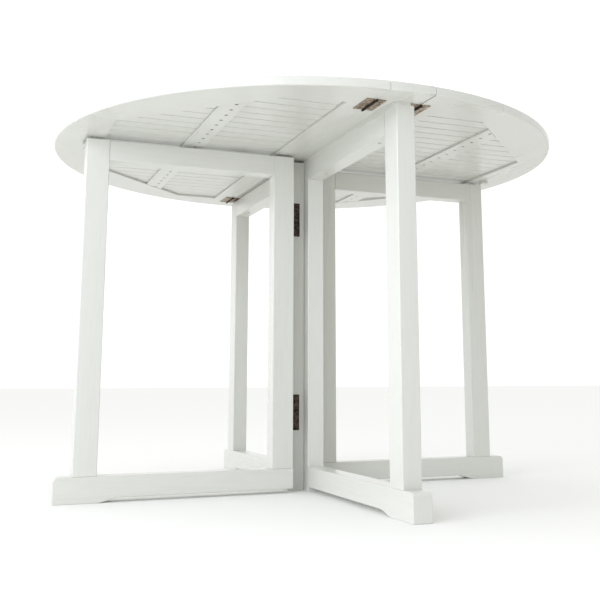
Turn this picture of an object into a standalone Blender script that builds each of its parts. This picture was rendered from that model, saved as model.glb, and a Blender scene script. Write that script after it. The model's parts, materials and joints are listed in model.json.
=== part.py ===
"""Round gateleg table, painted wood, with both leaves up and both gates open.

Frame: metres, +Z up, floor at Z = 0, origin on the floor below the centre of the
top.  Y runs along the fixed centre strip and X across it.  The table is the same
after a half turn about Z, so every shape is designed once, in the near or left
half, and placed again under an empty that is turned by 180 degrees.
"""
import math

import bmesh
import bpy
from mathutils import Matrix, Vector

# ---- driving dimensions -----------------------------------------------------------
GAP = 0.0003             # gap between pieces that touch

TOP_R = 0.550            # round top
TOP_Z = 0.740
TOP_T = 0.017
UNDER_Z = TOP_Z - TOP_T
EDGE_R = 0.003           # rounding of the rim's edges
EASE = 0.0015            # rounding of the members' edges
ARC_STEP = math.radians(3.0)
OVERCUT = 0.001          # start of a cutter outside the wood it cuts

STRIP_HALF = 0.044       # fixed strip between the leaves
LEAF_X = 0.045           # inner edge of a leaf
STILE_W = 0.0422
APOTHEM = 0.456          # octagonal opening inside the rim
SLATS = 26
SLAT_GAP = 0.0030
SLAT_END_GAP = 0.0010
SLAT_T = 0.0125
BATTEN_X = (0.249, 0.294)
BATTEN_IN = 0.0005       # batten into the slats it is joined to
BATTEN_POCKET = 0.0030   # depth of its screw holes
SCREW_X = 0.267
TONGUE_X = (-0.180, -0.100)
TONGUE_T = (0.65, 0.35)  # its limits below the top face, as parts of a slat
STOP_X = (0.478, 0.495)
STOP_Y = (-0.0185, -0.0025)
STOP_T = 0.008

WOOD_T = 0.036           # thickness of the centre frame
POST_D = 0.046           # width of legs and posts
FRAME_X = (-0.0068, 0.0292)
FRAME_TOP = 0.717        # tops of the centre frame and of the gates
LEG_Y = (-0.494, -0.4435)
FOOT_END = 0.0350        # foot beyond the leg
FOOT_H = 0.050
FOOT_LIFT = 0.009
FOOT_PAD = 0.082
FOOT_CURVE = 0.045
FOOT_ROUND = 0.009
CURVE_STEPS = 7
ROUND_STEPS = 4
RAIL_H = 0.042
POST_Y = (-0.050, -0.0123)
PACK_X = (FRAME_X[0], 0.0222)    # clear of the hinges on the other side
HINGE_POST_X = (-0.0428, -0.0071)
HINGE_POST_Y = (-0.0258, 0.0120)
RAIL_SCREW_Y = {"inner": -0.113, "outer": -0.384}
RAIL_POCKET = 0.0060     # depth of its screw holes
RAIL_HEAD = (0.0037, 0.0020)    # underside to screw head, and the head's thickness

AXIS = (-0.0428, -0.0285)    # left gate's hinge line
GATE_T = 0.035
GATE_IN = 0.0027         # hinge line to the gate's end face
GATE_OUT = 0.4495        # hinge line to the outer leg's far face

LEAF_HINGE_L = 0.0635
GATE_HINGE_L = 0.075
KNUCKLE_R = 0.0024
BORE_R = 0.00115
PIN_R = 0.0010
PLATE_T = 0.0012
KNUCKLE_GAP = 0.0004
LEAF_PLATE_W = 0.019
GATE_PLATE_W = 0.024
LEAF_HINGE_Y = 0.4605    # centres of the leaf hinges
LEAF_AXIS = (-0.0445, UNDER_Z - GAP - KNUCKLE_R)
GATE_HINGE_Z = {"lower": 0.163, "upper": 0.5845}
KNUCKLES = 5
PLATE_EDGE = KNUCKLE_R + 0.0006    # pin line to plate
TAB_IN = 0.001           # knuckle's tab into its plate
PIN_SHORT = 0.001        # hinge's end to its pin's end
HOLE_SIDE = 0.0055       # plate's sides to its screw holes
HOLE_END = 0.010         # plate's ends to its outer screw holes
SCREW_HOLE_R = 0.0028
POCKET_R = 0.0042
WOOD_SCREW_R = 0.0034

# ---- scene, collections, materials -------------------------------------------------
for old in list(bpy.data.objects):
    bpy.data.objects.remove(old, do_unlink=True)

parts = bpy.data.collections.new("gateleg_table")
cutters = bpy.data.collections.new("cutters")
for group in (parts, cutters):
    bpy.context.scene.collection.children.link(group)


def material(name, colour, roughness, metallic=0.0):
    mat = bpy.data.materials.new(name)
    mat.use_nodes = True
    shader = mat.node_tree.nodes["Principled BSDF"]
    shader.inputs["Base Color"].default_value = (*colour, 1.0)
    shader.inputs["Roughness"].default_value = roughness
    shader.inputs["Metallic"].default_value = metallic
    return mat


PAINT = ((0.86, 0.86, 0.84), 0.35, 0.0)
BRONZE = ((0.20, 0.13, 0.07), 0.40, 0.9)
STEEL = ((0.16, 0.15, 0.14), 0.45, 0.9)


def empty(name, location, turn=0.0):
    obj = bpy.data.objects.new(name, None)
    obj.location = location
    obj.rotation_euler.z = turn
    parts.objects.link(obj)
    return obj


HALVES = (empty("base_half", (0, 0, 0)), empty("turned_half", (0, 0, 0), math.pi))
GATES = (empty("left_gate_axis", (AXIS[0], AXIS[1], 0)),
         empty("right_gate_axis", (-AXIS[0], -AXIS[1], 0), math.pi))


def place(name, mesh, look, parent=None):
    """Link a mesh as the part called name, with a material of its own."""
    obj = bpy.data.objects.new(name, mesh)
    parts.objects.link(obj)
    mesh.materials.clear()
    mesh.materials.append(material(name + "_finish", *look))
    obj.parent = parent
    return obj


def pair(names, mesh, look, parents=HALVES):
    """Place a mesh in the base half and a copy of it in the turned half."""
    for name, parent, data in zip(names, parents, (mesh, mesh.copy())):
        place(name, data, look, parent)


# ---- shapes ------------------------------------------------------------------------
def finish_mesh(name, bm):
    bmesh.ops.recalc_face_normals(bm, faces=bm.faces)
    mesh = bpy.data.meshes.new(name)
    bm.to_mesh(mesh)
    bm.free()
    return mesh


def add_box(bm, x, y, z):
    """Add a box to bm between the limits x, y and z."""
    centre = Vector(((x[0] + x[1]) / 2, (y[0] + y[1]) / 2, (z[0] + z[1]) / 2))
    size = Matrix.Diagonal((x[1] - x[0], y[1] - y[0], z[1] - z[0], 1.0))
    return bmesh.ops.create_cube(bm, size=1.0, matrix=Matrix.Translation(centre) @ size)["verts"]


def box(name, x, y, z, soft=EASE, square_top=False):
    """A board or block; its edges along the grain, its longest side, are eased."""
    bm = bmesh.new()
    add_box(bm, x, y, z)
    longest = max(range(3), key=lambda i: (x, y, z)[i][1] - (x, y, z)[i][0])
    if soft:
        along = [e for e in bm.edges if abs((e.verts[0].co - e.verts[1].co)[longest]) > 1e-6
                 and not (square_top and e.verts[0].co.z > z[1] - 1e-6)]
        bmesh.ops.bevel(bm, geom=along, offset=soft, segments=2, profile=0.5, affect="EDGES")
    return finish_mesh(name, bm)


def add_rod(bm, radius, foot, direction, length, sides):
    """Add a cylinder to bm that starts at foot and runs along direction."""
    turn = Vector(direction).to_track_quat("Z", "Y").to_matrix().to_4x4()
    middle = Vector(foot) + Vector(direction).normalized() * length / 2
    bmesh.ops.create_cone(bm, cap_ends=True, segments=sides, radius1=radius, radius2=radius,
                          depth=length, matrix=Matrix.Translation(middle) @ turn)


def slab(name, outline, thickness):
    """A flat outline in XY, filled and extruded to both sides of Z = 0."""
    curve = bpy.data.curves.new(name, "CURVE")
    curve.dimensions = "2D"
    curve.fill_mode = "BOTH"
    curve.extrude = thickness / 2
    spline = curve.splines.new("POLY")
    spline.points.add(len(outline) - 1)
    for point, (x, y) in zip(spline.points, outline):
        point.co = (x, y, 0.0, 1.0)
    spline.use_cyclic_u = True
    guide = bpy.data.objects.new(name, curve)
    cutters.objects.link(guide)
    graph = bpy.context.evaluated_depsgraph_get()
    mesh = bpy.data.meshes.new_from_object(guide.evaluated_get(graph))
    bpy.data.objects.remove(guide, do_unlink=True)
    bm = bmesh.new()
    bm.from_mesh(mesh)
    bmesh.ops.remove_doubles(bm, verts=bm.verts, dist=1e-6)
    bmesh.ops.dissolve_limit(bm, angle_limit=math.radians(0.5), verts=bm.verts, edges=bm.edges)
    return bm


def cut(mesh, bm_cutter, operation="DIFFERENCE"):
    """Boolean a mesh with the bodies in bm_cutter and return the result."""
    body = bpy.data.objects.new("body", mesh)
    tool = bpy.data.objects.new("cutter", finish_mesh("cutter", bm_cutter))
    tool.hide_render = True
    tool.display_type = "WIRE"
    for obj in (body, tool):
        cutters.objects.link(obj)
    mod = body.modifiers.new("cut", "BOOLEAN")
    mod.object = tool
    mod.operation = operation
    mod.solver = "EXACT"
    mod.use_self = operation == "UNION"
    graph = bpy.context.evaluated_depsgraph_get()
    result = bpy.data.meshes.new_from_object(body.evaluated_get(graph))
    for obj in (body, tool):
        bpy.data.objects.remove(obj, do_unlink=True)
    return result


def clip(outline, normal, limit):
    """Keep the part of a convex outline where normal . point <= limit."""
    kept = []
    for (ax, ay), (bx, by) in zip(outline, outline[1:] + outline[:1]):
        a = normal[0] * ax + normal[1] * ay - limit
        b = normal[0] * bx + normal[1] * by - limit
        if a <= 0:
            kept.append((ax, ay))
        if a * b < 0:
            s = a / (a - b)
            kept.append((ax + s * (bx - ax), ay + s * (by - ay)))
    return kept


def disc(limit=TOP_R):
    count = round(2 * math.pi / ARC_STEP)
    angles = [i * 2 * math.pi / count for i in range(count)]
    return [(limit * math.cos(a), limit * math.sin(a)) for a in angles]


def board(name, outline):
    """A piece of the top's frame, with its edges rounded where it meets the rim."""
    bm = slab(name, outline, TOP_T)
    bmesh.ops.translate(bm, verts=bm.verts, vec=(0, 0, UNDER_Z + TOP_T / 2))
    rim = [e for e in bm.edges
           if all(v.co.xy.length > TOP_R - 0.0005 for v in e.verts)
           and abs(e.verts[0].co.z - e.verts[1].co.z) < 1e-5]
    bmesh.ops.bevel(bm, geom=rim, offset=EDGE_R, segments=2, profile=0.5, affect="EDGES")
    return finish_mesh(name, bm)


# ---- top: fixed strip and two leaves -------------------------------------------------
strip = clip(clip(disc(), (1, 0), STRIP_HALF), (-1, 0), STRIP_HALF)
place("centre_strip", board("centre_strip", strip), PAINT)


def rim_piece(middle):
    """Outline of the rim segment whose middle points along the angle middle."""
    outline = clip(disc(), (-math.cos(middle), -math.sin(middle)), -(APOTHEM + GAP / 2))
    for side in (-1, 1):
        edge = middle + side * (math.pi / 8 + math.pi / 2)
        outline = clip(outline, (math.cos(edge), math.sin(edge)), -GAP / 2)
    return clip(outline, (1, 0), -LEAF_X)


RIM = {"rim_end_near": 270, "rim_diagonal_near": 225, "rim_outer": 180,
       "rim_diagonal_far": 135, "rim_end_far": 90}
SWAP = {"near": "far", "far": "near"}


def both(kind, piece):
    """Names of a piece in the base half and in the turned half."""
    words = [SWAP.get(word, word) for word in piece.split("_")]
    first, second = {"leaf": ("left_leaf", "right_leaf"), "gate": ("left_gate", "right_gate"),
                     "frame": ("near_frame", "far_frame")}[kind]
    return (f"{first}_{piece}", f"{second}_{'_'.join(words)}")


for piece, angle in RIM.items():
    pair(both("leaf", piece), board(piece, rim_piece(math.radians(angle))), PAINT)

STILE_X = (-LEAF_X - STILE_W, -LEAF_X)
stile_end = APOTHEM - GAP / 2
pair(both("leaf", "hinge_stile"),
     box("stile", STILE_X, (-stile_end, stile_end), (UNDER_Z, TOP_Z), soft=0), PAINT)


def in_octagon(outline):
    """Cut an outline in the left leaf to the octagonal opening, less the end gap."""
    for angle in (180, 135, 225):
        way = math.radians(angle)
        outline = clip(outline, (math.cos(way), math.sin(way)), APOTHEM - SLAT_END_GAP)
    return outline


def slat_outline(row):
    """Outline of one slat, cut to the octagonal opening."""
    pitch = 2 * APOTHEM / SLATS
    middle = -APOTHEM + (row + 0.5) * pitch
    half = (pitch - SLAT_GAP) / 2
    x0 = STILE_X[0] - SLAT_END_GAP
    outline = [(-APOTHEM, middle - half), (x0, middle - half),
               (x0, middle + half), (-APOTHEM, middle + half)]
    return in_octagon(outline)


outline = in_octagon([(-BATTEN_X[1], -APOTHEM), (-BATTEN_X[0], -APOTHEM),
                      (-BATTEN_X[0], APOTHEM), (-BATTEN_X[1], APOTHEM)])
batten_t = TOP_T - SLAT_T + BATTEN_IN
batten = slab("batten", outline, batten_t)
bmesh.ops.translate(batten, verts=batten.verts, vec=(0, 0, UNDER_Z + batten_t / 2))
batten = finish_mesh("batten", batten)
slats, pockets = bmesh.new(), bmesh.new()
for row in range(SLATS):
    one = slab("slat", slat_outline(row), SLAT_T)
    bmesh.ops.translate(one, verts=one.verts, vec=(0, 0, TOP_Z - SLAT_T / 2))
    slats.from_mesh(finish_mesh("slat", one))
tongues = bmesh.new()
for side in (-1, 1):
    for row in (1, 2):               # the batten stops short of the two end slats
        y = side * (APOTHEM - row * 2 * APOTHEM / SLATS)
        add_box(tongues, TONGUE_X, (y - SLAT_GAP, y + SLAT_GAP),
                [TOP_Z - SLAT_T * part for part in TONGUE_T])
for k in range(SLATS - 4):
    y = (k - (SLATS - 5) / 2) * 2 * APOTHEM / SLATS
    add_rod(pockets, POCKET_R, (-SCREW_X, y, UNDER_Z - OVERCUT), (0, 0, 1),
            OVERCUT + BATTEN_POCKET, 8)
panel = cut(cut(cut(batten, slats, "UNION"), tongues, "UNION"), pockets)
pair(both("leaf", "slat_panel"), panel, PAINT)

stop = box("stop", (-STOP_X[1], -STOP_X[0]), STOP_Y, (UNDER_Z - GAP - STOP_T, UNDER_Z - GAP))
pair(both("leaf", "stop_block"), stop, PAINT)


# ---- centre frame --------------------------------------------------------------------
def foot_rail(length, thickness):
    """A foot rail along +X from its outer end, standing on Z = 0, centred on Y = 0."""
    outline = [(0.0, 0.0), (FOOT_PAD, 0.0)]
    for i in range(1, CURVE_STEPS):
        s = i / CURVE_STEPS
        outline.append((FOOT_PAD + FOOT_CURVE * s, FOOT_LIFT * (3 * s * s - 2 * s ** 3)))
    outline += [(FOOT_PAD + FOOT_CURVE, FOOT_LIFT), (length, FOOT_LIFT), (length, FOOT_H)]
    for i in range(ROUND_STEPS + 1):
        a = math.pi / 2 * (1 + i / ROUND_STEPS)
        outline.append((FOOT_ROUND * (1 + math.cos(a)), FOOT_H - FOOT_ROUND * (1 - math.sin(a))))
    bm = slab("foot_rail", outline, thickness)
    bmesh.ops.rotate(bm, verts=bm.verts, matrix=Matrix.Rotation(math.pi / 2, 3, "X"))
    sides = [e for e in bm.edges if e.calc_face_angle() > math.radians(60)
             and not all(v.co.x > length - 1e-5 for v in e.verts)]
    bmesh.ops.bevel(bm, geom=sides, offset=EASE, segments=2, profile=0.5, affect="EDGES")
    return bm


leg_z = (FOOT_H + GAP, FRAME_TOP)
pair(both("frame", "leg"), box("leg", FRAME_X, LEG_Y, leg_z), PAINT)

foot_start = LEG_Y[0] - FOOT_END
rail = foot_rail(POST_Y[0] - GAP - foot_start, WOOD_T)
bmesh.ops.rotate(rail, verts=rail.verts, matrix=Matrix.Rotation(math.pi / 2, 3, "Z"))
bmesh.ops.translate(rail, verts=rail.verts, vec=(sum(FRAME_X) / 2, foot_start, 0))
pair(both("frame", "foot_rail"), finish_mesh("foot_rail", rail), PAINT)

pair(both("frame", "central_post"), box("post", FRAME_X, POST_Y, (0, FRAME_TOP)), PAINT)
pair(both("frame", "hinge_post"), box("post", HINGE_POST_X, HINGE_POST_Y, (0, FRAME_TOP)), PAINT)

rail_y = (LEG_Y[1] + GAP, POST_Y[0] - GAP)
rail_x, rail_z = sum(FRAME_X) / 2, FRAME_TOP - RAIL_H
top_rail = box("top_rail", FRAME_X, rail_y, (rail_z, FRAME_TOP), square_top=True)
pockets = bmesh.new()
for place_name, y in RAIL_SCREW_Y.items():
    add_rod(pockets, POCKET_R, (rail_x, y, rail_z - OVERCUT), (0, 0, 1), OVERCUT + RAIL_POCKET, 8)
    head = bmesh.new()
    add_rod(head, WOOD_SCREW_R, (rail_x, y, rail_z + RAIL_HEAD[0]), (0, 0, 1), RAIL_HEAD[1], 8)
    pair(both("frame", f"{place_name}_rail_screw"), finish_mesh("screw", head), STEEL)
pair(both("frame", "top_rail"), cut(top_rail, pockets), PAINT)

pack = box("pack", PACK_X, (LEG_Y[0], POST_Y[1]), (FRAME_TOP + GAP, UNDER_Z - GAP), soft=0)
pair(both("frame", "packing_strip"), pack, PAINT)


# ---- gates: drawn from the hinge line, along -X --------------------------------------
gate_y = (-GATE_T, 0.0)
inner_x = (-GATE_IN - POST_D, -GATE_IN)
outer_x = (-GATE_OUT, -GATE_OUT + POST_D)
pair(both("gate", "inner_post"), box("post", inner_x, gate_y, leg_z), PAINT, GATES)
pair(both("gate", "outer_leg"), box("leg", outer_x, gate_y, leg_z), PAINT, GATES)
pair(both("gate", "top_rail"),
     box("rail", (outer_x[1] + GAP, inner_x[0] - GAP), gate_y, (FRAME_TOP - RAIL_H, FRAME_TOP)),
     PAINT, GATES)
rail = foot_rail(GATE_OUT + FOOT_END - GATE_IN, GATE_T)
bmesh.ops.translate(rail, verts=rail.verts, vec=(-GATE_OUT - FOOT_END, -GATE_T / 2, 0))
pair(both("gate", "foot_rail"), finish_mesh("foot_rail", rail), PAINT, GATES)


# ---- butt hinges ---------------------------------------------------------------------
def hinge_leaf(length, width, side, with_pin):
    """One leaf of a butt hinge: pin line on Z, plate along +X, flush with Y = side * r."""
    flat = sorted((side * (KNUCKLE_R - PLATE_T), side * KNUCKLE_R))
    bm = bmesh.new()
    add_box(bm, (PLATE_EDGE, width), flat, (-length / 2, length / 2))
    mesh = finish_mesh("plate", bm)
    pitch = length / KNUCKLES
    for k in range(0 if with_pin else 1, KNUCKLES, 2):
        low = -length / 2 + k * pitch + KNUCKLE_GAP / 2
        tab, knuckle = bmesh.new(), bmesh.new()
        add_box(tab, (0.0, PLATE_EDGE + TAB_IN), flat, (low, low + pitch - KNUCKLE_GAP))
        add_rod(knuckle, KNUCKLE_R, (0, 0, low), (0, 0, 1), pitch - KNUCKLE_GAP, 12)
        mesh = cut(cut(mesh, tab, "UNION"), knuckle, "UNION")
    core, holes = bmesh.new(), bmesh.new()
    if with_pin:
        add_rod(core, PIN_R, (0, 0, PIN_SHORT - length / 2), (0, 0, 1), length - 2 * PIN_SHORT, 8)
    else:
        add_rod(core, BORE_R, (0, 0, -length), (0, 0, 1), 2 * length, 8)
    mesh = cut(mesh, core, "UNION" if with_pin else "DIFFERENCE")
    near, far = PLATE_EDGE + HOLE_SIDE, width - HOLE_SIDE
    end = length / 2 - HOLE_END
    for x, z in ((near, -end), (far, 0.0), (near, end)):
        add_rod(holes, SCREW_HOLE_R, (x, side * KNUCKLE_R * 2, z), (0, -side, 0), KNUCKLE_R * 3, 8)
    return cut(mesh, holes)


def frame(x_axis, y_axis, origin):
    """Matrix that carries a hinge's own X and Y axes to the given directions."""
    x, y = Vector(x_axis), Vector(y_axis)
    turn = Matrix((x, y, x.cross(y))).transposed().to_4x4()
    return Matrix.Translation(Vector(origin)) @ turn


def fit(names, mesh, at, parents=HALVES):
    """Place a pair of hinge leaves, carried to the frame at."""
    copy = mesh.copy()
    copy.transform(at)
    pair(names, copy, BRONZE, parents)


strip_plate = hinge_leaf(LEAF_HINGE_L, LEAF_PLATE_W, 1, True)
leaf_plate = hinge_leaf(LEAF_HINGE_L, LEAF_PLATE_W, 1, False)
for end, y in (("near", -LEAF_HINGE_Y), ("far", LEAF_HINGE_Y)):
    origin = (LEAF_AXIS[0], y, LEAF_AXIS[1])
    fit(both("leaf", f"{end}_hinge_strip_plate"), strip_plate, frame((1, 0, 0), (0, 0, 1), origin))
    fit(both("leaf", f"{end}_hinge_leaf_plate"), leaf_plate, frame((-1, 0, 0), (0, 0, 1), origin))

post_plate = hinge_leaf(GATE_HINGE_L, GATE_PLATE_W, 1, True)
gate_plate = hinge_leaf(GATE_HINGE_L, GATE_PLATE_W, -1, False)
for level, z in GATE_HINGE_Z.items():
    fit(both("gate", f"{level}_hinge_post_plate"), post_plate,
        frame((1, 0, 0), (0, 1, 0), (AXIS[0], AXIS[1], z)))
    fit(both("gate", f"{level}_hinge_gate_plate"), gate_plate,
        frame((0, -1, 0), (1, 0, 0), (0, 0, z)), GATES)
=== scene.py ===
"""Looks of the round gateleg table: white satin paint on wood, bronzed butt hinges.

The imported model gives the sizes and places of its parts.  The script smooths the
wooden members, lays single slats in the leaves, adds the screws, and sets the
materials, the studio and the camera.
"""
import json
import math

import bmesh
import bpy
from mathutils import Matrix, Vector

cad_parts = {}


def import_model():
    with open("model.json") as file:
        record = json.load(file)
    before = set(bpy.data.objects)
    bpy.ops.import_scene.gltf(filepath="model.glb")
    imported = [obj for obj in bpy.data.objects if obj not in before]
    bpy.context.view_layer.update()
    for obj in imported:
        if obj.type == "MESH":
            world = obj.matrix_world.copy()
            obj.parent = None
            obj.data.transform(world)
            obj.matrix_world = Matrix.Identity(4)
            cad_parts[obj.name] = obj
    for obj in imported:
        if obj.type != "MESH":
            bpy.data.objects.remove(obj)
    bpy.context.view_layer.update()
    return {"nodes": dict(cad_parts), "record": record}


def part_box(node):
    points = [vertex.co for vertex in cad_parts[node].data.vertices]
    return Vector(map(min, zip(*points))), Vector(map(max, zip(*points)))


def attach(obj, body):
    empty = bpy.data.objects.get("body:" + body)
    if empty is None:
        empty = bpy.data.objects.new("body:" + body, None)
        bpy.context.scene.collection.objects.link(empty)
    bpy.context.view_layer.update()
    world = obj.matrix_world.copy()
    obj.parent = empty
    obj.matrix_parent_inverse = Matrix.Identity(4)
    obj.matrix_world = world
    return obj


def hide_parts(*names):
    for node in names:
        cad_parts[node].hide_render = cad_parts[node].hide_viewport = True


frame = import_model()
NODES = frame["nodes"]
BODIES = frame["record"]["behaviour"]["bodies"]
BODY_OF = {node: body for body, names in BODIES.items() for node in names}

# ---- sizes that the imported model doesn't hold ---------------------------------------
SLATS = 26               # slats in a leaf
SLAT_GAP = 0.0030        # open joint between two slats
SLAT_T = 0.0125
BATTEN_INTO = 0.0002     # batten into the slats it is screwed to
SLAT_EDGE = 0.0010       # rounding of a slat
END_GAP = 0.0010         # slat end to stile or rim
BATTEN_IN = 0.1608       # slats' inner ends to the batten's inner edge
BATTEN_W = 0.045
BATTEN_EDGE = 0.0015
SCREW_LINE = 0.018       # batten's inner edge to its line of screws
END_ROWS = 4             # slats, two at each end, that the batten has no screws for
HEAD_R = 0.0034          # wood screws in the battens and the top rails
HEAD_DEPTH = 0.0009      # wood surface to screw head
HEAD_T = 0.0020
HEAD_PLAY = 0.0002       # screw head to the side of its hole
HEAD_SIDES = 28
HEAD_TURNS = (0.5, 2.4)  # angle of the first screw, and from each screw to the next
SINK_R = 0.0046          # mouth of a countersunk hole
SINK_SIDES = 24
OVERCUT = 0.001          # start of a cutter outside the wood it cuts
CLOSE = 0.00012          # how far painted members grow, so that their joints close
HINGE_HEAD_R = 0.0026
HINGE_HEAD_T = 0.0011
HINGE_HEAD_PROUD = 0.00005
PLATE_T = 0.0012
BARREL_PLAY = 0.0004     # faces this near to the barrel get painted shade, for the shadow line along the barrel
HOLE_END = 0.0100        # end of a hinge plate to its outer screws
HOLE_OUT = 0.0055        # free edge of a hinge plate to its middle screw
HOLE_IN = 0.0085         # hinge line to the other two
WOOD_EDGE = math.radians(50)     # edges sharper than this stay sharp
METAL_EDGE = math.radians(40)


# ---- materials -----------------------------------------------------------------------
def node_tree(name):
    mat = bpy.data.materials.new(name)
    mat.use_nodes = True
    tree = mat.node_tree
    return mat, tree, tree.nodes["Principled BSDF"]


def add(tree, kind, **values):
    node = tree.nodes.new(kind)
    for key, value in values.items():
        if key in node.inputs:
            node.inputs[key].default_value = value
        else:
            setattr(node, key, value)
    return node


def grain_coordinates(tree, along):
    """Object coordinates stretched so that noise runs along one axis."""
    place = add(tree, "ShaderNodeTexCoord")
    stretch = add(tree, "ShaderNodeMapping")
    scale = [1.0, 1.0, 1.0]
    scale["XYZ".index(along)] = 0.06
    stretch.inputs["Scale"].default_value = scale
    tree.links.new(place.outputs["Object"], stretch.inputs["Vector"])
    return stretch.outputs["Vector"]


def ramp(tree, fac, stops):
    node = add(tree, "ShaderNodeValToRGB")
    while len(node.color_ramp.elements) < len(stops):
        node.color_ramp.elements.new(0.5)
    for element, (place, colour) in zip(node.color_ramp.elements, stops):
        element.position = place
        element.color = (*colour, 1.0)
    tree.links.new(fac, node.inputs["Fac"])
    return node.outputs["Color"]


def paint(name, along):
    """White satin paint over planed wood whose grain runs along one axis."""
    mat, tree, shader = node_tree(name)
    where = grain_coordinates(tree, along)
    grain = add(tree, "ShaderNodeTexNoise", Scale=260.0, Detail=5.0, Roughness=0.6)
    cloud = add(tree, "ShaderNodeTexNoise", Scale=9.0, Detail=3.0, Roughness=0.5)
    fibre = add(tree, "ShaderNodeTexNoise", Scale=900.0, Detail=2.0, Roughness=0.5)
    for node in (grain, cloud, fibre):
        tree.links.new(where, node.inputs["Vector"])
    tint = ramp(tree, cloud.outputs["Fac"],
                [(0.30, (0.640, 0.646, 0.598)),
                 (0.55, (0.669, 0.674, 0.632)),
                 (0.80, (0.689, 0.692, 0.656))])
    streak = ramp(tree, grain.outputs["Fac"],
                  [(0.34, (0.970, 0.970, 0.962)), (0.52, (1.0, 1.0, 1.0))])
    mix = add(tree, "ShaderNodeMix", data_type="RGBA", blend_type="MULTIPLY")
    mix.inputs["Factor"].default_value = 1.0
    tree.links.new(tint, mix.inputs["A"])
    tree.links.new(streak, mix.inputs["B"])
    tree.links.new(mix.outputs["Result"], shader.inputs["Base Color"])
    gloss = add(tree, "ShaderNodeMapRange")
    gloss.inputs["To Min"].default_value = 0.22
    gloss.inputs["To Max"].default_value = 0.36
    tree.links.new(cloud.outputs["Fac"], gloss.inputs["Value"])
    tree.links.new(gloss.outputs["Result"], shader.inputs["Roughness"])
    fine = add(tree, "ShaderNodeBump", Strength=0.10, Distance=0.0004)
    coarse = add(tree, "ShaderNodeBump", Strength=0.14, Distance=0.0007)
    tree.links.new(fibre.outputs["Fac"], fine.inputs["Height"])
    tree.links.new(grain.outputs["Fac"], coarse.inputs["Height"])
    tree.links.new(fine.outputs["Normal"], coarse.inputs["Normal"])
    tree.links.new(coarse.outputs["Normal"], shader.inputs["Normal"])
    shader.inputs["Coat Weight"].default_value = 0.25
    shader.inputs["Coat Roughness"].default_value = 0.16
    shader.inputs["Specular IOR Level"].default_value = 0.5
    return mat


def metal(name, dark, light, rough, scale):
    """Plated metal with a mottled finish and rubbed lighter patches."""
    mat, tree, shader = node_tree(name)
    place = add(tree, "ShaderNodeTexCoord")
    patches = add(tree, "ShaderNodeTexNoise", Scale=scale, Detail=6.0, Roughness=0.65)
    grit = add(tree, "ShaderNodeTexNoise", Scale=scale * 12, Detail=2.0, Roughness=0.6)
    for node in (patches, grit):
        tree.links.new(place.outputs["Object"], node.inputs["Vector"])
    tree.links.new(ramp(tree, patches.outputs["Fac"], [(0.38, dark), (0.62, light)]),
                   shader.inputs["Base Color"])
    spread = add(tree, "ShaderNodeMapRange")
    spread.inputs["To Min"].default_value = rough[0]
    spread.inputs["To Max"].default_value = rough[1]
    tree.links.new(patches.outputs["Fac"], spread.inputs["Value"])
    tree.links.new(spread.outputs["Result"], shader.inputs["Roughness"])
    bump = add(tree, "ShaderNodeBump", Strength=0.25, Distance=0.0002)
    tree.links.new(grit.outputs["Fac"], bump.inputs["Height"])
    tree.links.new(bump.outputs["Normal"], shader.inputs["Normal"])
    shader.inputs["Metallic"].default_value = 0.85
    return mat


PAINT = {along: paint(f"white_paint_{along.lower()}", along) for along in "XYZ"}
BRONZE = metal("antique_bronze", (0.110, 0.078, 0.052), (0.56, 0.44, 0.32), (0.30, 0.50), 170.0)
# the same bronze made darker for the gate hinges: painted shade, for the shade they stand in
SHADED_BRONZE = metal("bronze_painted_shade", (0.014, 0.011, 0.008), (0.115, 0.082, 0.062), (0.34, 0.55), 170.0)
# painted shade: near black, for the shadow line along a hinge barrel
BARREL_SHADE = metal("barrel_painted_shade", (0.010, 0.008, 0.006), (0.060, 0.042, 0.030), (0.38, 0.60), 220.0)
STEEL = metal("dark_steel", (0.030, 0.028, 0.026), (0.16, 0.15, 0.14), (0.35, 0.6), 260.0)


# ---- building blocks -------------------------------------------------------------------
def piece(name, bm, mats, body, sharp=WOOD_EDGE):
    """Make a shaded, riding piece of a bmesh."""
    mesh = bpy.data.meshes.new(name)
    for face in bm.faces:
        face.smooth = True
    for edge in bm.edges:
        edge.smooth = edge.is_manifold and edge.calc_face_angle() < sharp
    bm.to_mesh(mesh)
    bm.free()
    if "custom_normal" in mesh.attributes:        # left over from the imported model
        mesh.attributes.remove(mesh.attributes["custom_normal"])
    for mat in mats:
        mesh.materials.append(mat)
    obj = bpy.data.objects.new(name, mesh)
    bpy.context.scene.collection.objects.link(obj)
    even = obj.modifiers.new("even_shading", "WEIGHTED_NORMAL")
    even.keep_sharp = True
    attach(obj, body)
    return obj


def copy_of(node):
    """A bmesh of a node's mesh, with its flat faces whole."""
    bm = bmesh.new()
    bm.from_mesh(NODES[node].data)
    bmesh.ops.remove_doubles(bm, verts=bm.verts, dist=1e-6)
    bmesh.ops.dissolve_limit(bm, angle_limit=math.radians(0.3), verts=bm.verts, edges=bm.edges)
    return bm


def painted(node):
    """The wooden member node again, painted, smooth, and grown by CLOSE."""
    bm = copy_of(node)
    bm.normal_update()
    grown = [v.co + v.normal * v.calc_shell_factor() * CLOSE for v in bm.verts]
    for v, place in zip(bm.verts, grown):
        v.co = place
    obj = piece(f"{node}_painted", bm, [PAINT[grain_axis(node)]], BODY_OF[node])
    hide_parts(node)


def grain_axis(node):
    """The axis along which a member's grain runs: its longest side."""
    low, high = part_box(node)
    size = high - low
    return "XYZ"[max(range(3), key=lambda i: size[i])]


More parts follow.
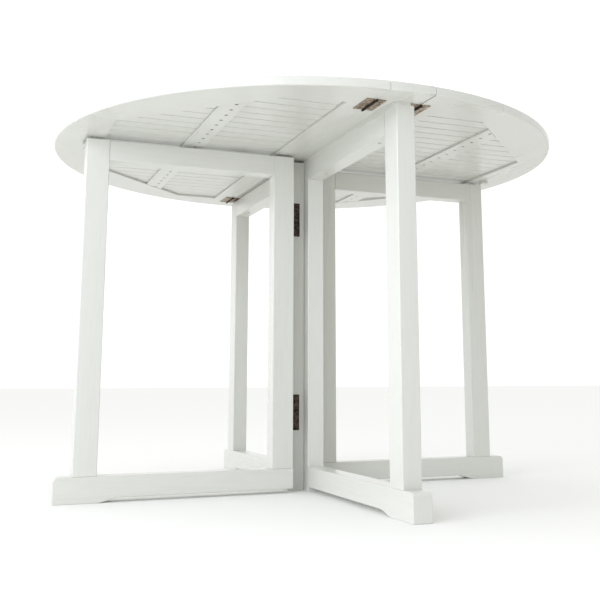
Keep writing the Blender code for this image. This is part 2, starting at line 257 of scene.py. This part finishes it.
def prism(outline, low, high, edge):
    """A board: an outline in XY between two heights, with its edges rounded."""
    bm = bmesh.new()
    rings = [[bm.verts.new((x, y, z)) for x, y in outline] for z in (low, high)]
    bm.faces.new(rings[1])
    bm.faces.new(rings[0][::-1])
    count = len(outline)
    for i in range(count):
        j = (i + 1) % count
        bm.faces.new((rings[0][i], rings[0][j], rings[1][j], rings[1][i]))
    bmesh.ops.recalc_face_normals(bm, faces=bm.faces)
    bmesh.ops.bevel(bm, geom=bm.edges[:], offset=edge, segments=3, profile=0.5, affect="EDGES")
    return bm


def joined(pieces):
    """One bmesh of several; the given ones are freed."""
    whole = bmesh.new()
    for bm in pieces:
        part = bpy.data.meshes.new("part")
        bm.to_mesh(part)
        bm.free()
        whole.from_mesh(part)
        bpy.data.meshes.remove(part)
    return whole


def lathe(profile, sides):
    """A closed solid of (radius, z) points turned about Z; the ends lie on the axis."""
    bm = bmesh.new()
    rings = []
    for radius, z in profile:
        turn = [2 * math.pi * i / sides for i in range(sides if radius else 1)]
        rings.append([bm.verts.new((radius * math.cos(a), radius * math.sin(a), z))
                      for a in turn])
    for one, two in zip(rings, rings[1:]):
        for i in range(sides):
            j = (i + 1) % sides
            corners = [one[i % len(one)], one[j % len(one)],
                       two[j % len(two)], two[i % len(two)]]
            bm.faces.new(list(dict.fromkeys(corners)))
    bmesh.ops.recalc_face_normals(bm, faces=bm.faces)
    return bm


def block(size, taper):
    """A box about the origin whose lower end is scaled by taper."""
    bm = bmesh.new()
    bmesh.ops.create_cube(bm, size=1.0, matrix=Matrix.Diagonal((*size, 1.0)))
    for v in bm.verts:
        if v.co.z < 0:
            v.co.x *= taper
            v.co.y *= taper
    return bm


def carved(bm, tools):
    """A bmesh with the tools cut out of it."""
    objs = []
    for name, source in (("carved", bm), ("tools", joined(tools))):
        mesh = bpy.data.meshes.new(name)
        source.to_mesh(mesh)
        source.free()
        obj = bpy.data.objects.new(name, mesh)
        bpy.context.scene.collection.objects.link(obj)
        objs.append(obj)
    mod = objs[0].modifiers.new("carve", "BOOLEAN")
    mod.object, mod.solver, mod.use_self = objs[1], "EXACT", True
    graph = bpy.context.evaluated_depsgraph_get()
    result = bmesh.new()
    result.from_object(objs[0], graph)
    for obj in objs:
        mesh = obj.data
        bpy.data.objects.remove(obj, do_unlink=True)
        bpy.data.meshes.remove(mesh)
    return result


def screw_head(radius, thick):
    """A countersunk head with a cross recess; its face is up, at Z = 0."""
    head = lathe([(0, 0.00025), (radius * 0.55, 0.00018), (radius * 0.86, 0.0),
                  (radius * 0.97, -0.00012), (radius, -0.0003), (radius * 0.95, -0.0005),
                  (radius * 0.55, -thick), (0, -thick)], HEAD_SIDES)
    arm, width, deep = radius * 1.15, radius * 0.26, radius * 0.5
    return carved(head, [block((arm, width, deep), 0.6), block((width, arm, deep), 0.6)])


HEADS = {}


def screws(name, radius, thick, places, normal, body):
    """Screw heads in one piece, each turned by its own angle; their faces look along normal."""
    if (radius, thick) not in HEADS:
        bm = screw_head(radius, thick)
        HEADS[radius, thick] = bpy.data.meshes.new("head")
        bm.to_mesh(HEADS[radius, thick])
        bm.free()
    face = Vector(normal).to_track_quat("Z", "Y").to_matrix().to_4x4()
    bm = bmesh.new()
    for i, place in enumerate(places):
        turn = Matrix.Rotation(HEAD_TURNS[1] * i + HEAD_TURNS[0], 4, "Z")
        head = HEADS[radius, thick].copy()
        head.transform(Matrix.Translation(place) @ face @ turn)
        bm.from_mesh(head)
        bpy.data.meshes.remove(head)
    return piece(name, bm, [STEEL], body, METAL_EDGE)


# ---- leaves ------------------------------------------------------------------------------
def clip(outline, normal, limit):
    """Keep the part of a convex outline where normal . point <= limit."""
    kept = []
    for (ax, ay), (bx, by) in zip(outline, outline[1:] + outline[:1]):
        a = normal[0] * ax + normal[1] * ay - limit
        b = normal[0] * bx + normal[1] * by - limit
        if a <= 0:
            kept.append((ax, ay))
        if a * b < 0:
            s = a / (a - b)
            kept.append((ax + s * (bx - ax), ay + s * (by - ay)))
    return kept


def slat_panel(side, node):
    """Slats and batten of a leaf; side is -1 for the left leaf and 1 for the right one."""
    low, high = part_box(node)
    inner = min(abs(low.x), abs(high.x))          # ends of the slats at the hinge stile
    reach = max(abs(low.x), abs(high.x)) + END_GAP    # edge of the octagonal opening
    batten_x = side * (inner + BATTEN_IN)         # batten's inner edge

    def in_opening(outline):
        for angle in (0, 45, -45):
            way = math.radians(angle)
            outline = clip(outline, (side * math.cos(way), math.sin(way)), reach - END_GAP)
        return outline

    pitch = 2 * reach / SLATS
    slats = []
    for row in range(SLATS):
        y = -reach + (row + 0.5) * pitch
        half = (pitch - SLAT_GAP) / 2
        near, far = side * inner, side * reach
        outline = in_opening([(near, y - half), (far, y - half),
                              (far, y + half), (near, y + half)])
        slats.append(prism(outline, high.z - SLAT_T, high.z, SLAT_EDGE))
    obj = piece(f"{node}_slats", joined(slats), [PAINT["X"]], "centre")
    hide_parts(node)

    batten_far = batten_x + side * BATTEN_W
    outline = in_opening([(batten_x, -reach), (batten_far, -reach),
                          (batten_far, reach), (batten_x, reach)])
    batten = prism(outline, low.z, high.z - SLAT_T + BATTEN_INTO, BATTEN_EDGE)
    count = SLATS - END_ROWS
    rows = [(k - (count - 1) / 2) * pitch for k in range(count)]
    line = batten_x + side * SCREW_LINE
    wide = HEAD_R + HEAD_PLAY
    sinks = []
    for y in rows:
        hole = lathe([(0, -OVERCUT), (SINK_R, -OVERCUT), (SINK_R, 0.0), (wide, HEAD_DEPTH),
                      (wide, HEAD_DEPTH + HEAD_T), (0, HEAD_DEPTH + HEAD_T)], SINK_SIDES)
        bmesh.ops.translate(hole, verts=hole.verts, vec=(line, y, low.z))
        sinks.append(hole)
    piece(f"{node}_batten", carved(batten, sinks), [PAINT["Y"]], "centre")
    heads = [(line, y, low.z + HEAD_DEPTH) for y in rows]
    screws(f"{node}_screws", HEAD_R, HEAD_T, heads, (0, 0, -1), "centre")


# ---- hinges ------------------------------------------------------------------------------
def butt_hinge(first, second, mat, normals):
    """Both leaves of a butt hinge whose barrel is darkened as painted shade, and their screws.

    The leaves share their barrel, so the hinge line runs down the middle of the space
    that both boxes hold.  normals are the ways that their visible faces look."""
    boxes = [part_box(node) for node in (first, second)]
    lows, highs = zip(*boxes)
    axis = (Vector(map(max, *lows)) + Vector(map(min, *highs))) / 2
    size = boxes[0][1] - boxes[0][0]
    along = max(range(3), key=lambda i: size[i])
    for node, (low, high), normal in zip((first, second), boxes, normals):
        thin = max(range(3), key=lambda i: abs(normal[i]))
        wide = 3 - along - thin
        radius = (high[thin] - low[thin]) / 2
        centre = (low + high) / 2
        way = 1 if centre[wide] > axis[wide] else -1
        free = high[wide] if way > 0 else low[wide]
        bm = copy_of(node)
        for face in bm.faces:
            away = face.calc_center_median() - axis
            away[along] = 0.0
            # faces by the barrel get the painted shade
            face.material_index = 1 if away.length < radius + BARREL_PLAY else 0
        obj = piece(f"{node}_plated", bm, [mat, BARREL_SHADE], BODY_OF[node],
                    METAL_EDGE)
        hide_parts(node)
        places = []
        for offset, out in ((-1, 0), (0, 1), (1, 0)):
            spot = Vector(centre)
            spot[along] += offset * ((high - low)[along] / 2 - HOLE_END)
            spot[wide] = free - way * HOLE_OUT if out else axis[wide] + way * HOLE_IN
            spot[thin] = axis[thin] - normal[thin] * (radius - PLATE_T - HINGE_HEAD_PROUD)
            places.append(spot)
        screws(f"{node}_screws", HINGE_HEAD_R, HINGE_HEAD_T, places, normal, BODY_OF[node])


for side, sign in (("left", 1), ("right", -1)):
    for end in ("near", "far"):
        hinge = f"{side}_leaf_{end}_hinge"
        butt_hinge(f"{hinge}_strip_plate", f"{hinge}_leaf_plate",
                   BRONZE, ((0, 0, -1), (0, 0, -1)))
    for level in ("lower", "upper"):
        hinge = f"{side}_gate_{level}_hinge"
        # the gate hinges get the bronze darkened as painted shade
        butt_hinge(f"{hinge}_post_plate", f"{hinge}_gate_plate",
                   SHADED_BRONZE, ((0, -sign, 0), (sign, 0, 0)))
    slat_panel(-sign, f"{side}_leaf_slat_panel")

for name in sorted(NODES):
    if name.endswith("rail_screw"):
        low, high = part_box(name)
        centre = (low + high) / 2
        obj = screws(f"{name}_head", HEAD_R, HEAD_T, [(centre.x, centre.y, low.z)],
                     (0, 0, -1), BODY_OF[name])
        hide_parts(name)
    elif "plate" not in name and not name.endswith("slat_panel"):
        painted(name)


# ---- studio ------------------------------------------------------------------------------
def studio():
    bm = bmesh.new()
    bmesh.ops.create_grid(bm, x_segments=1, y_segments=1, size=30.0)
    mesh = bpy.data.meshes.new("floor")
    bm.to_mesh(mesh)
    bm.free()
    floor = bpy.data.objects.new("floor", mesh)
    bpy.context.scene.collection.objects.link(floor)
    mat, tree, shader = node_tree("floor_paper")
    shader.inputs["Base Color"].default_value = (0.91, 0.91, 0.89, 1.0)
    shader.inputs["Roughness"].default_value = 0.9
    mesh.materials.append(mat)


def lamp(name, place, target, size, power, colour):
    data = bpy.data.lights.new(name, "AREA")
    data.shape = "DISK"
    data.size = size
    data.energy = power
    data.color = colour
    obj = bpy.data.objects.new(name, data)
    obj.location = place
    obj.rotation_euler = (Vector(target) - Vector(place)).to_track_quat("-Z", "Y").to_euler()
    bpy.context.scene.collection.objects.link(obj)


def world(bright_way, dim, bright):
    """White surroundings that fall off from bright to dim away from one direction."""
    sky = bpy.data.worlds.new("studio")
    sky.use_nodes = True
    tree = sky.node_tree
    back = tree.nodes["Background"]
    back.inputs["Color"].default_value = (1.0, 1.0, 1.0, 1.0)
    way = add(tree, "ShaderNodeTexCoord")
    facing = add(tree, "ShaderNodeVectorMath", operation="DOT_PRODUCT")
    facing.inputs[1].default_value = bright_way
    tree.links.new(way.outputs["Generated"], facing.inputs[0])
    level = add(tree, "ShaderNodeMapRange")
    for socket, value in (("From Min", -1.0), ("From Max", 0.7),
                          ("To Min", dim), ("To Max", bright)):
        level.inputs[socket].default_value = value
    tree.links.new(facing.outputs["Value"], level.inputs["Value"])
    tree.links.new(level.outputs["Result"], back.inputs["Strength"])
    bpy.context.scene.world = sky


bpy.context.scene.view_settings.view_transform = "Standard"
studio()
world((-0.22, 0.72, 0.65), 0.42, 1.15)
lamp("key", (-3.2, -1.2, 1.5), (-0.2, -0.2, 0.4), 1.8, 34.0, (0.86, 0.91, 1.0))
lamp("front", (-2.0, -2.0, 1.0), (-0.3, 0.0, 0.3), 1.4, 22.0, (0.88, 0.92, 1.0))

# ---- camera --------------------------------------------------------------------------------
EYE = (-0.6950, -1.8583, 0.2295)
YAW, PITCH, ROLL = math.radians(21.95), math.radians(10.04), math.radians(-0.14)
FOCAL = 53.07
SHIFT = (-0.0420, -0.1262)

lens = bpy.data.cameras.new("camera")
lens.lens = FOCAL
lens.sensor_width = 36.0
lens.shift_x, lens.shift_y = SHIFT
lens.clip_start, lens.clip_end = 0.02, 100.0
camera = bpy.data.objects.new("camera", lens)
camera.location = EYE
turn = Matrix.Rotation(-YAW, 4, "Z") @ Matrix.Rotation(math.pi / 2 + PITCH, 4, "X")
camera.rotation_euler = (turn @ Matrix.Rotation(ROLL, 4, "Z")).to_euler()
bpy.context.scene.collection.objects.link(camera)
bpy.context.scene.camera = camera
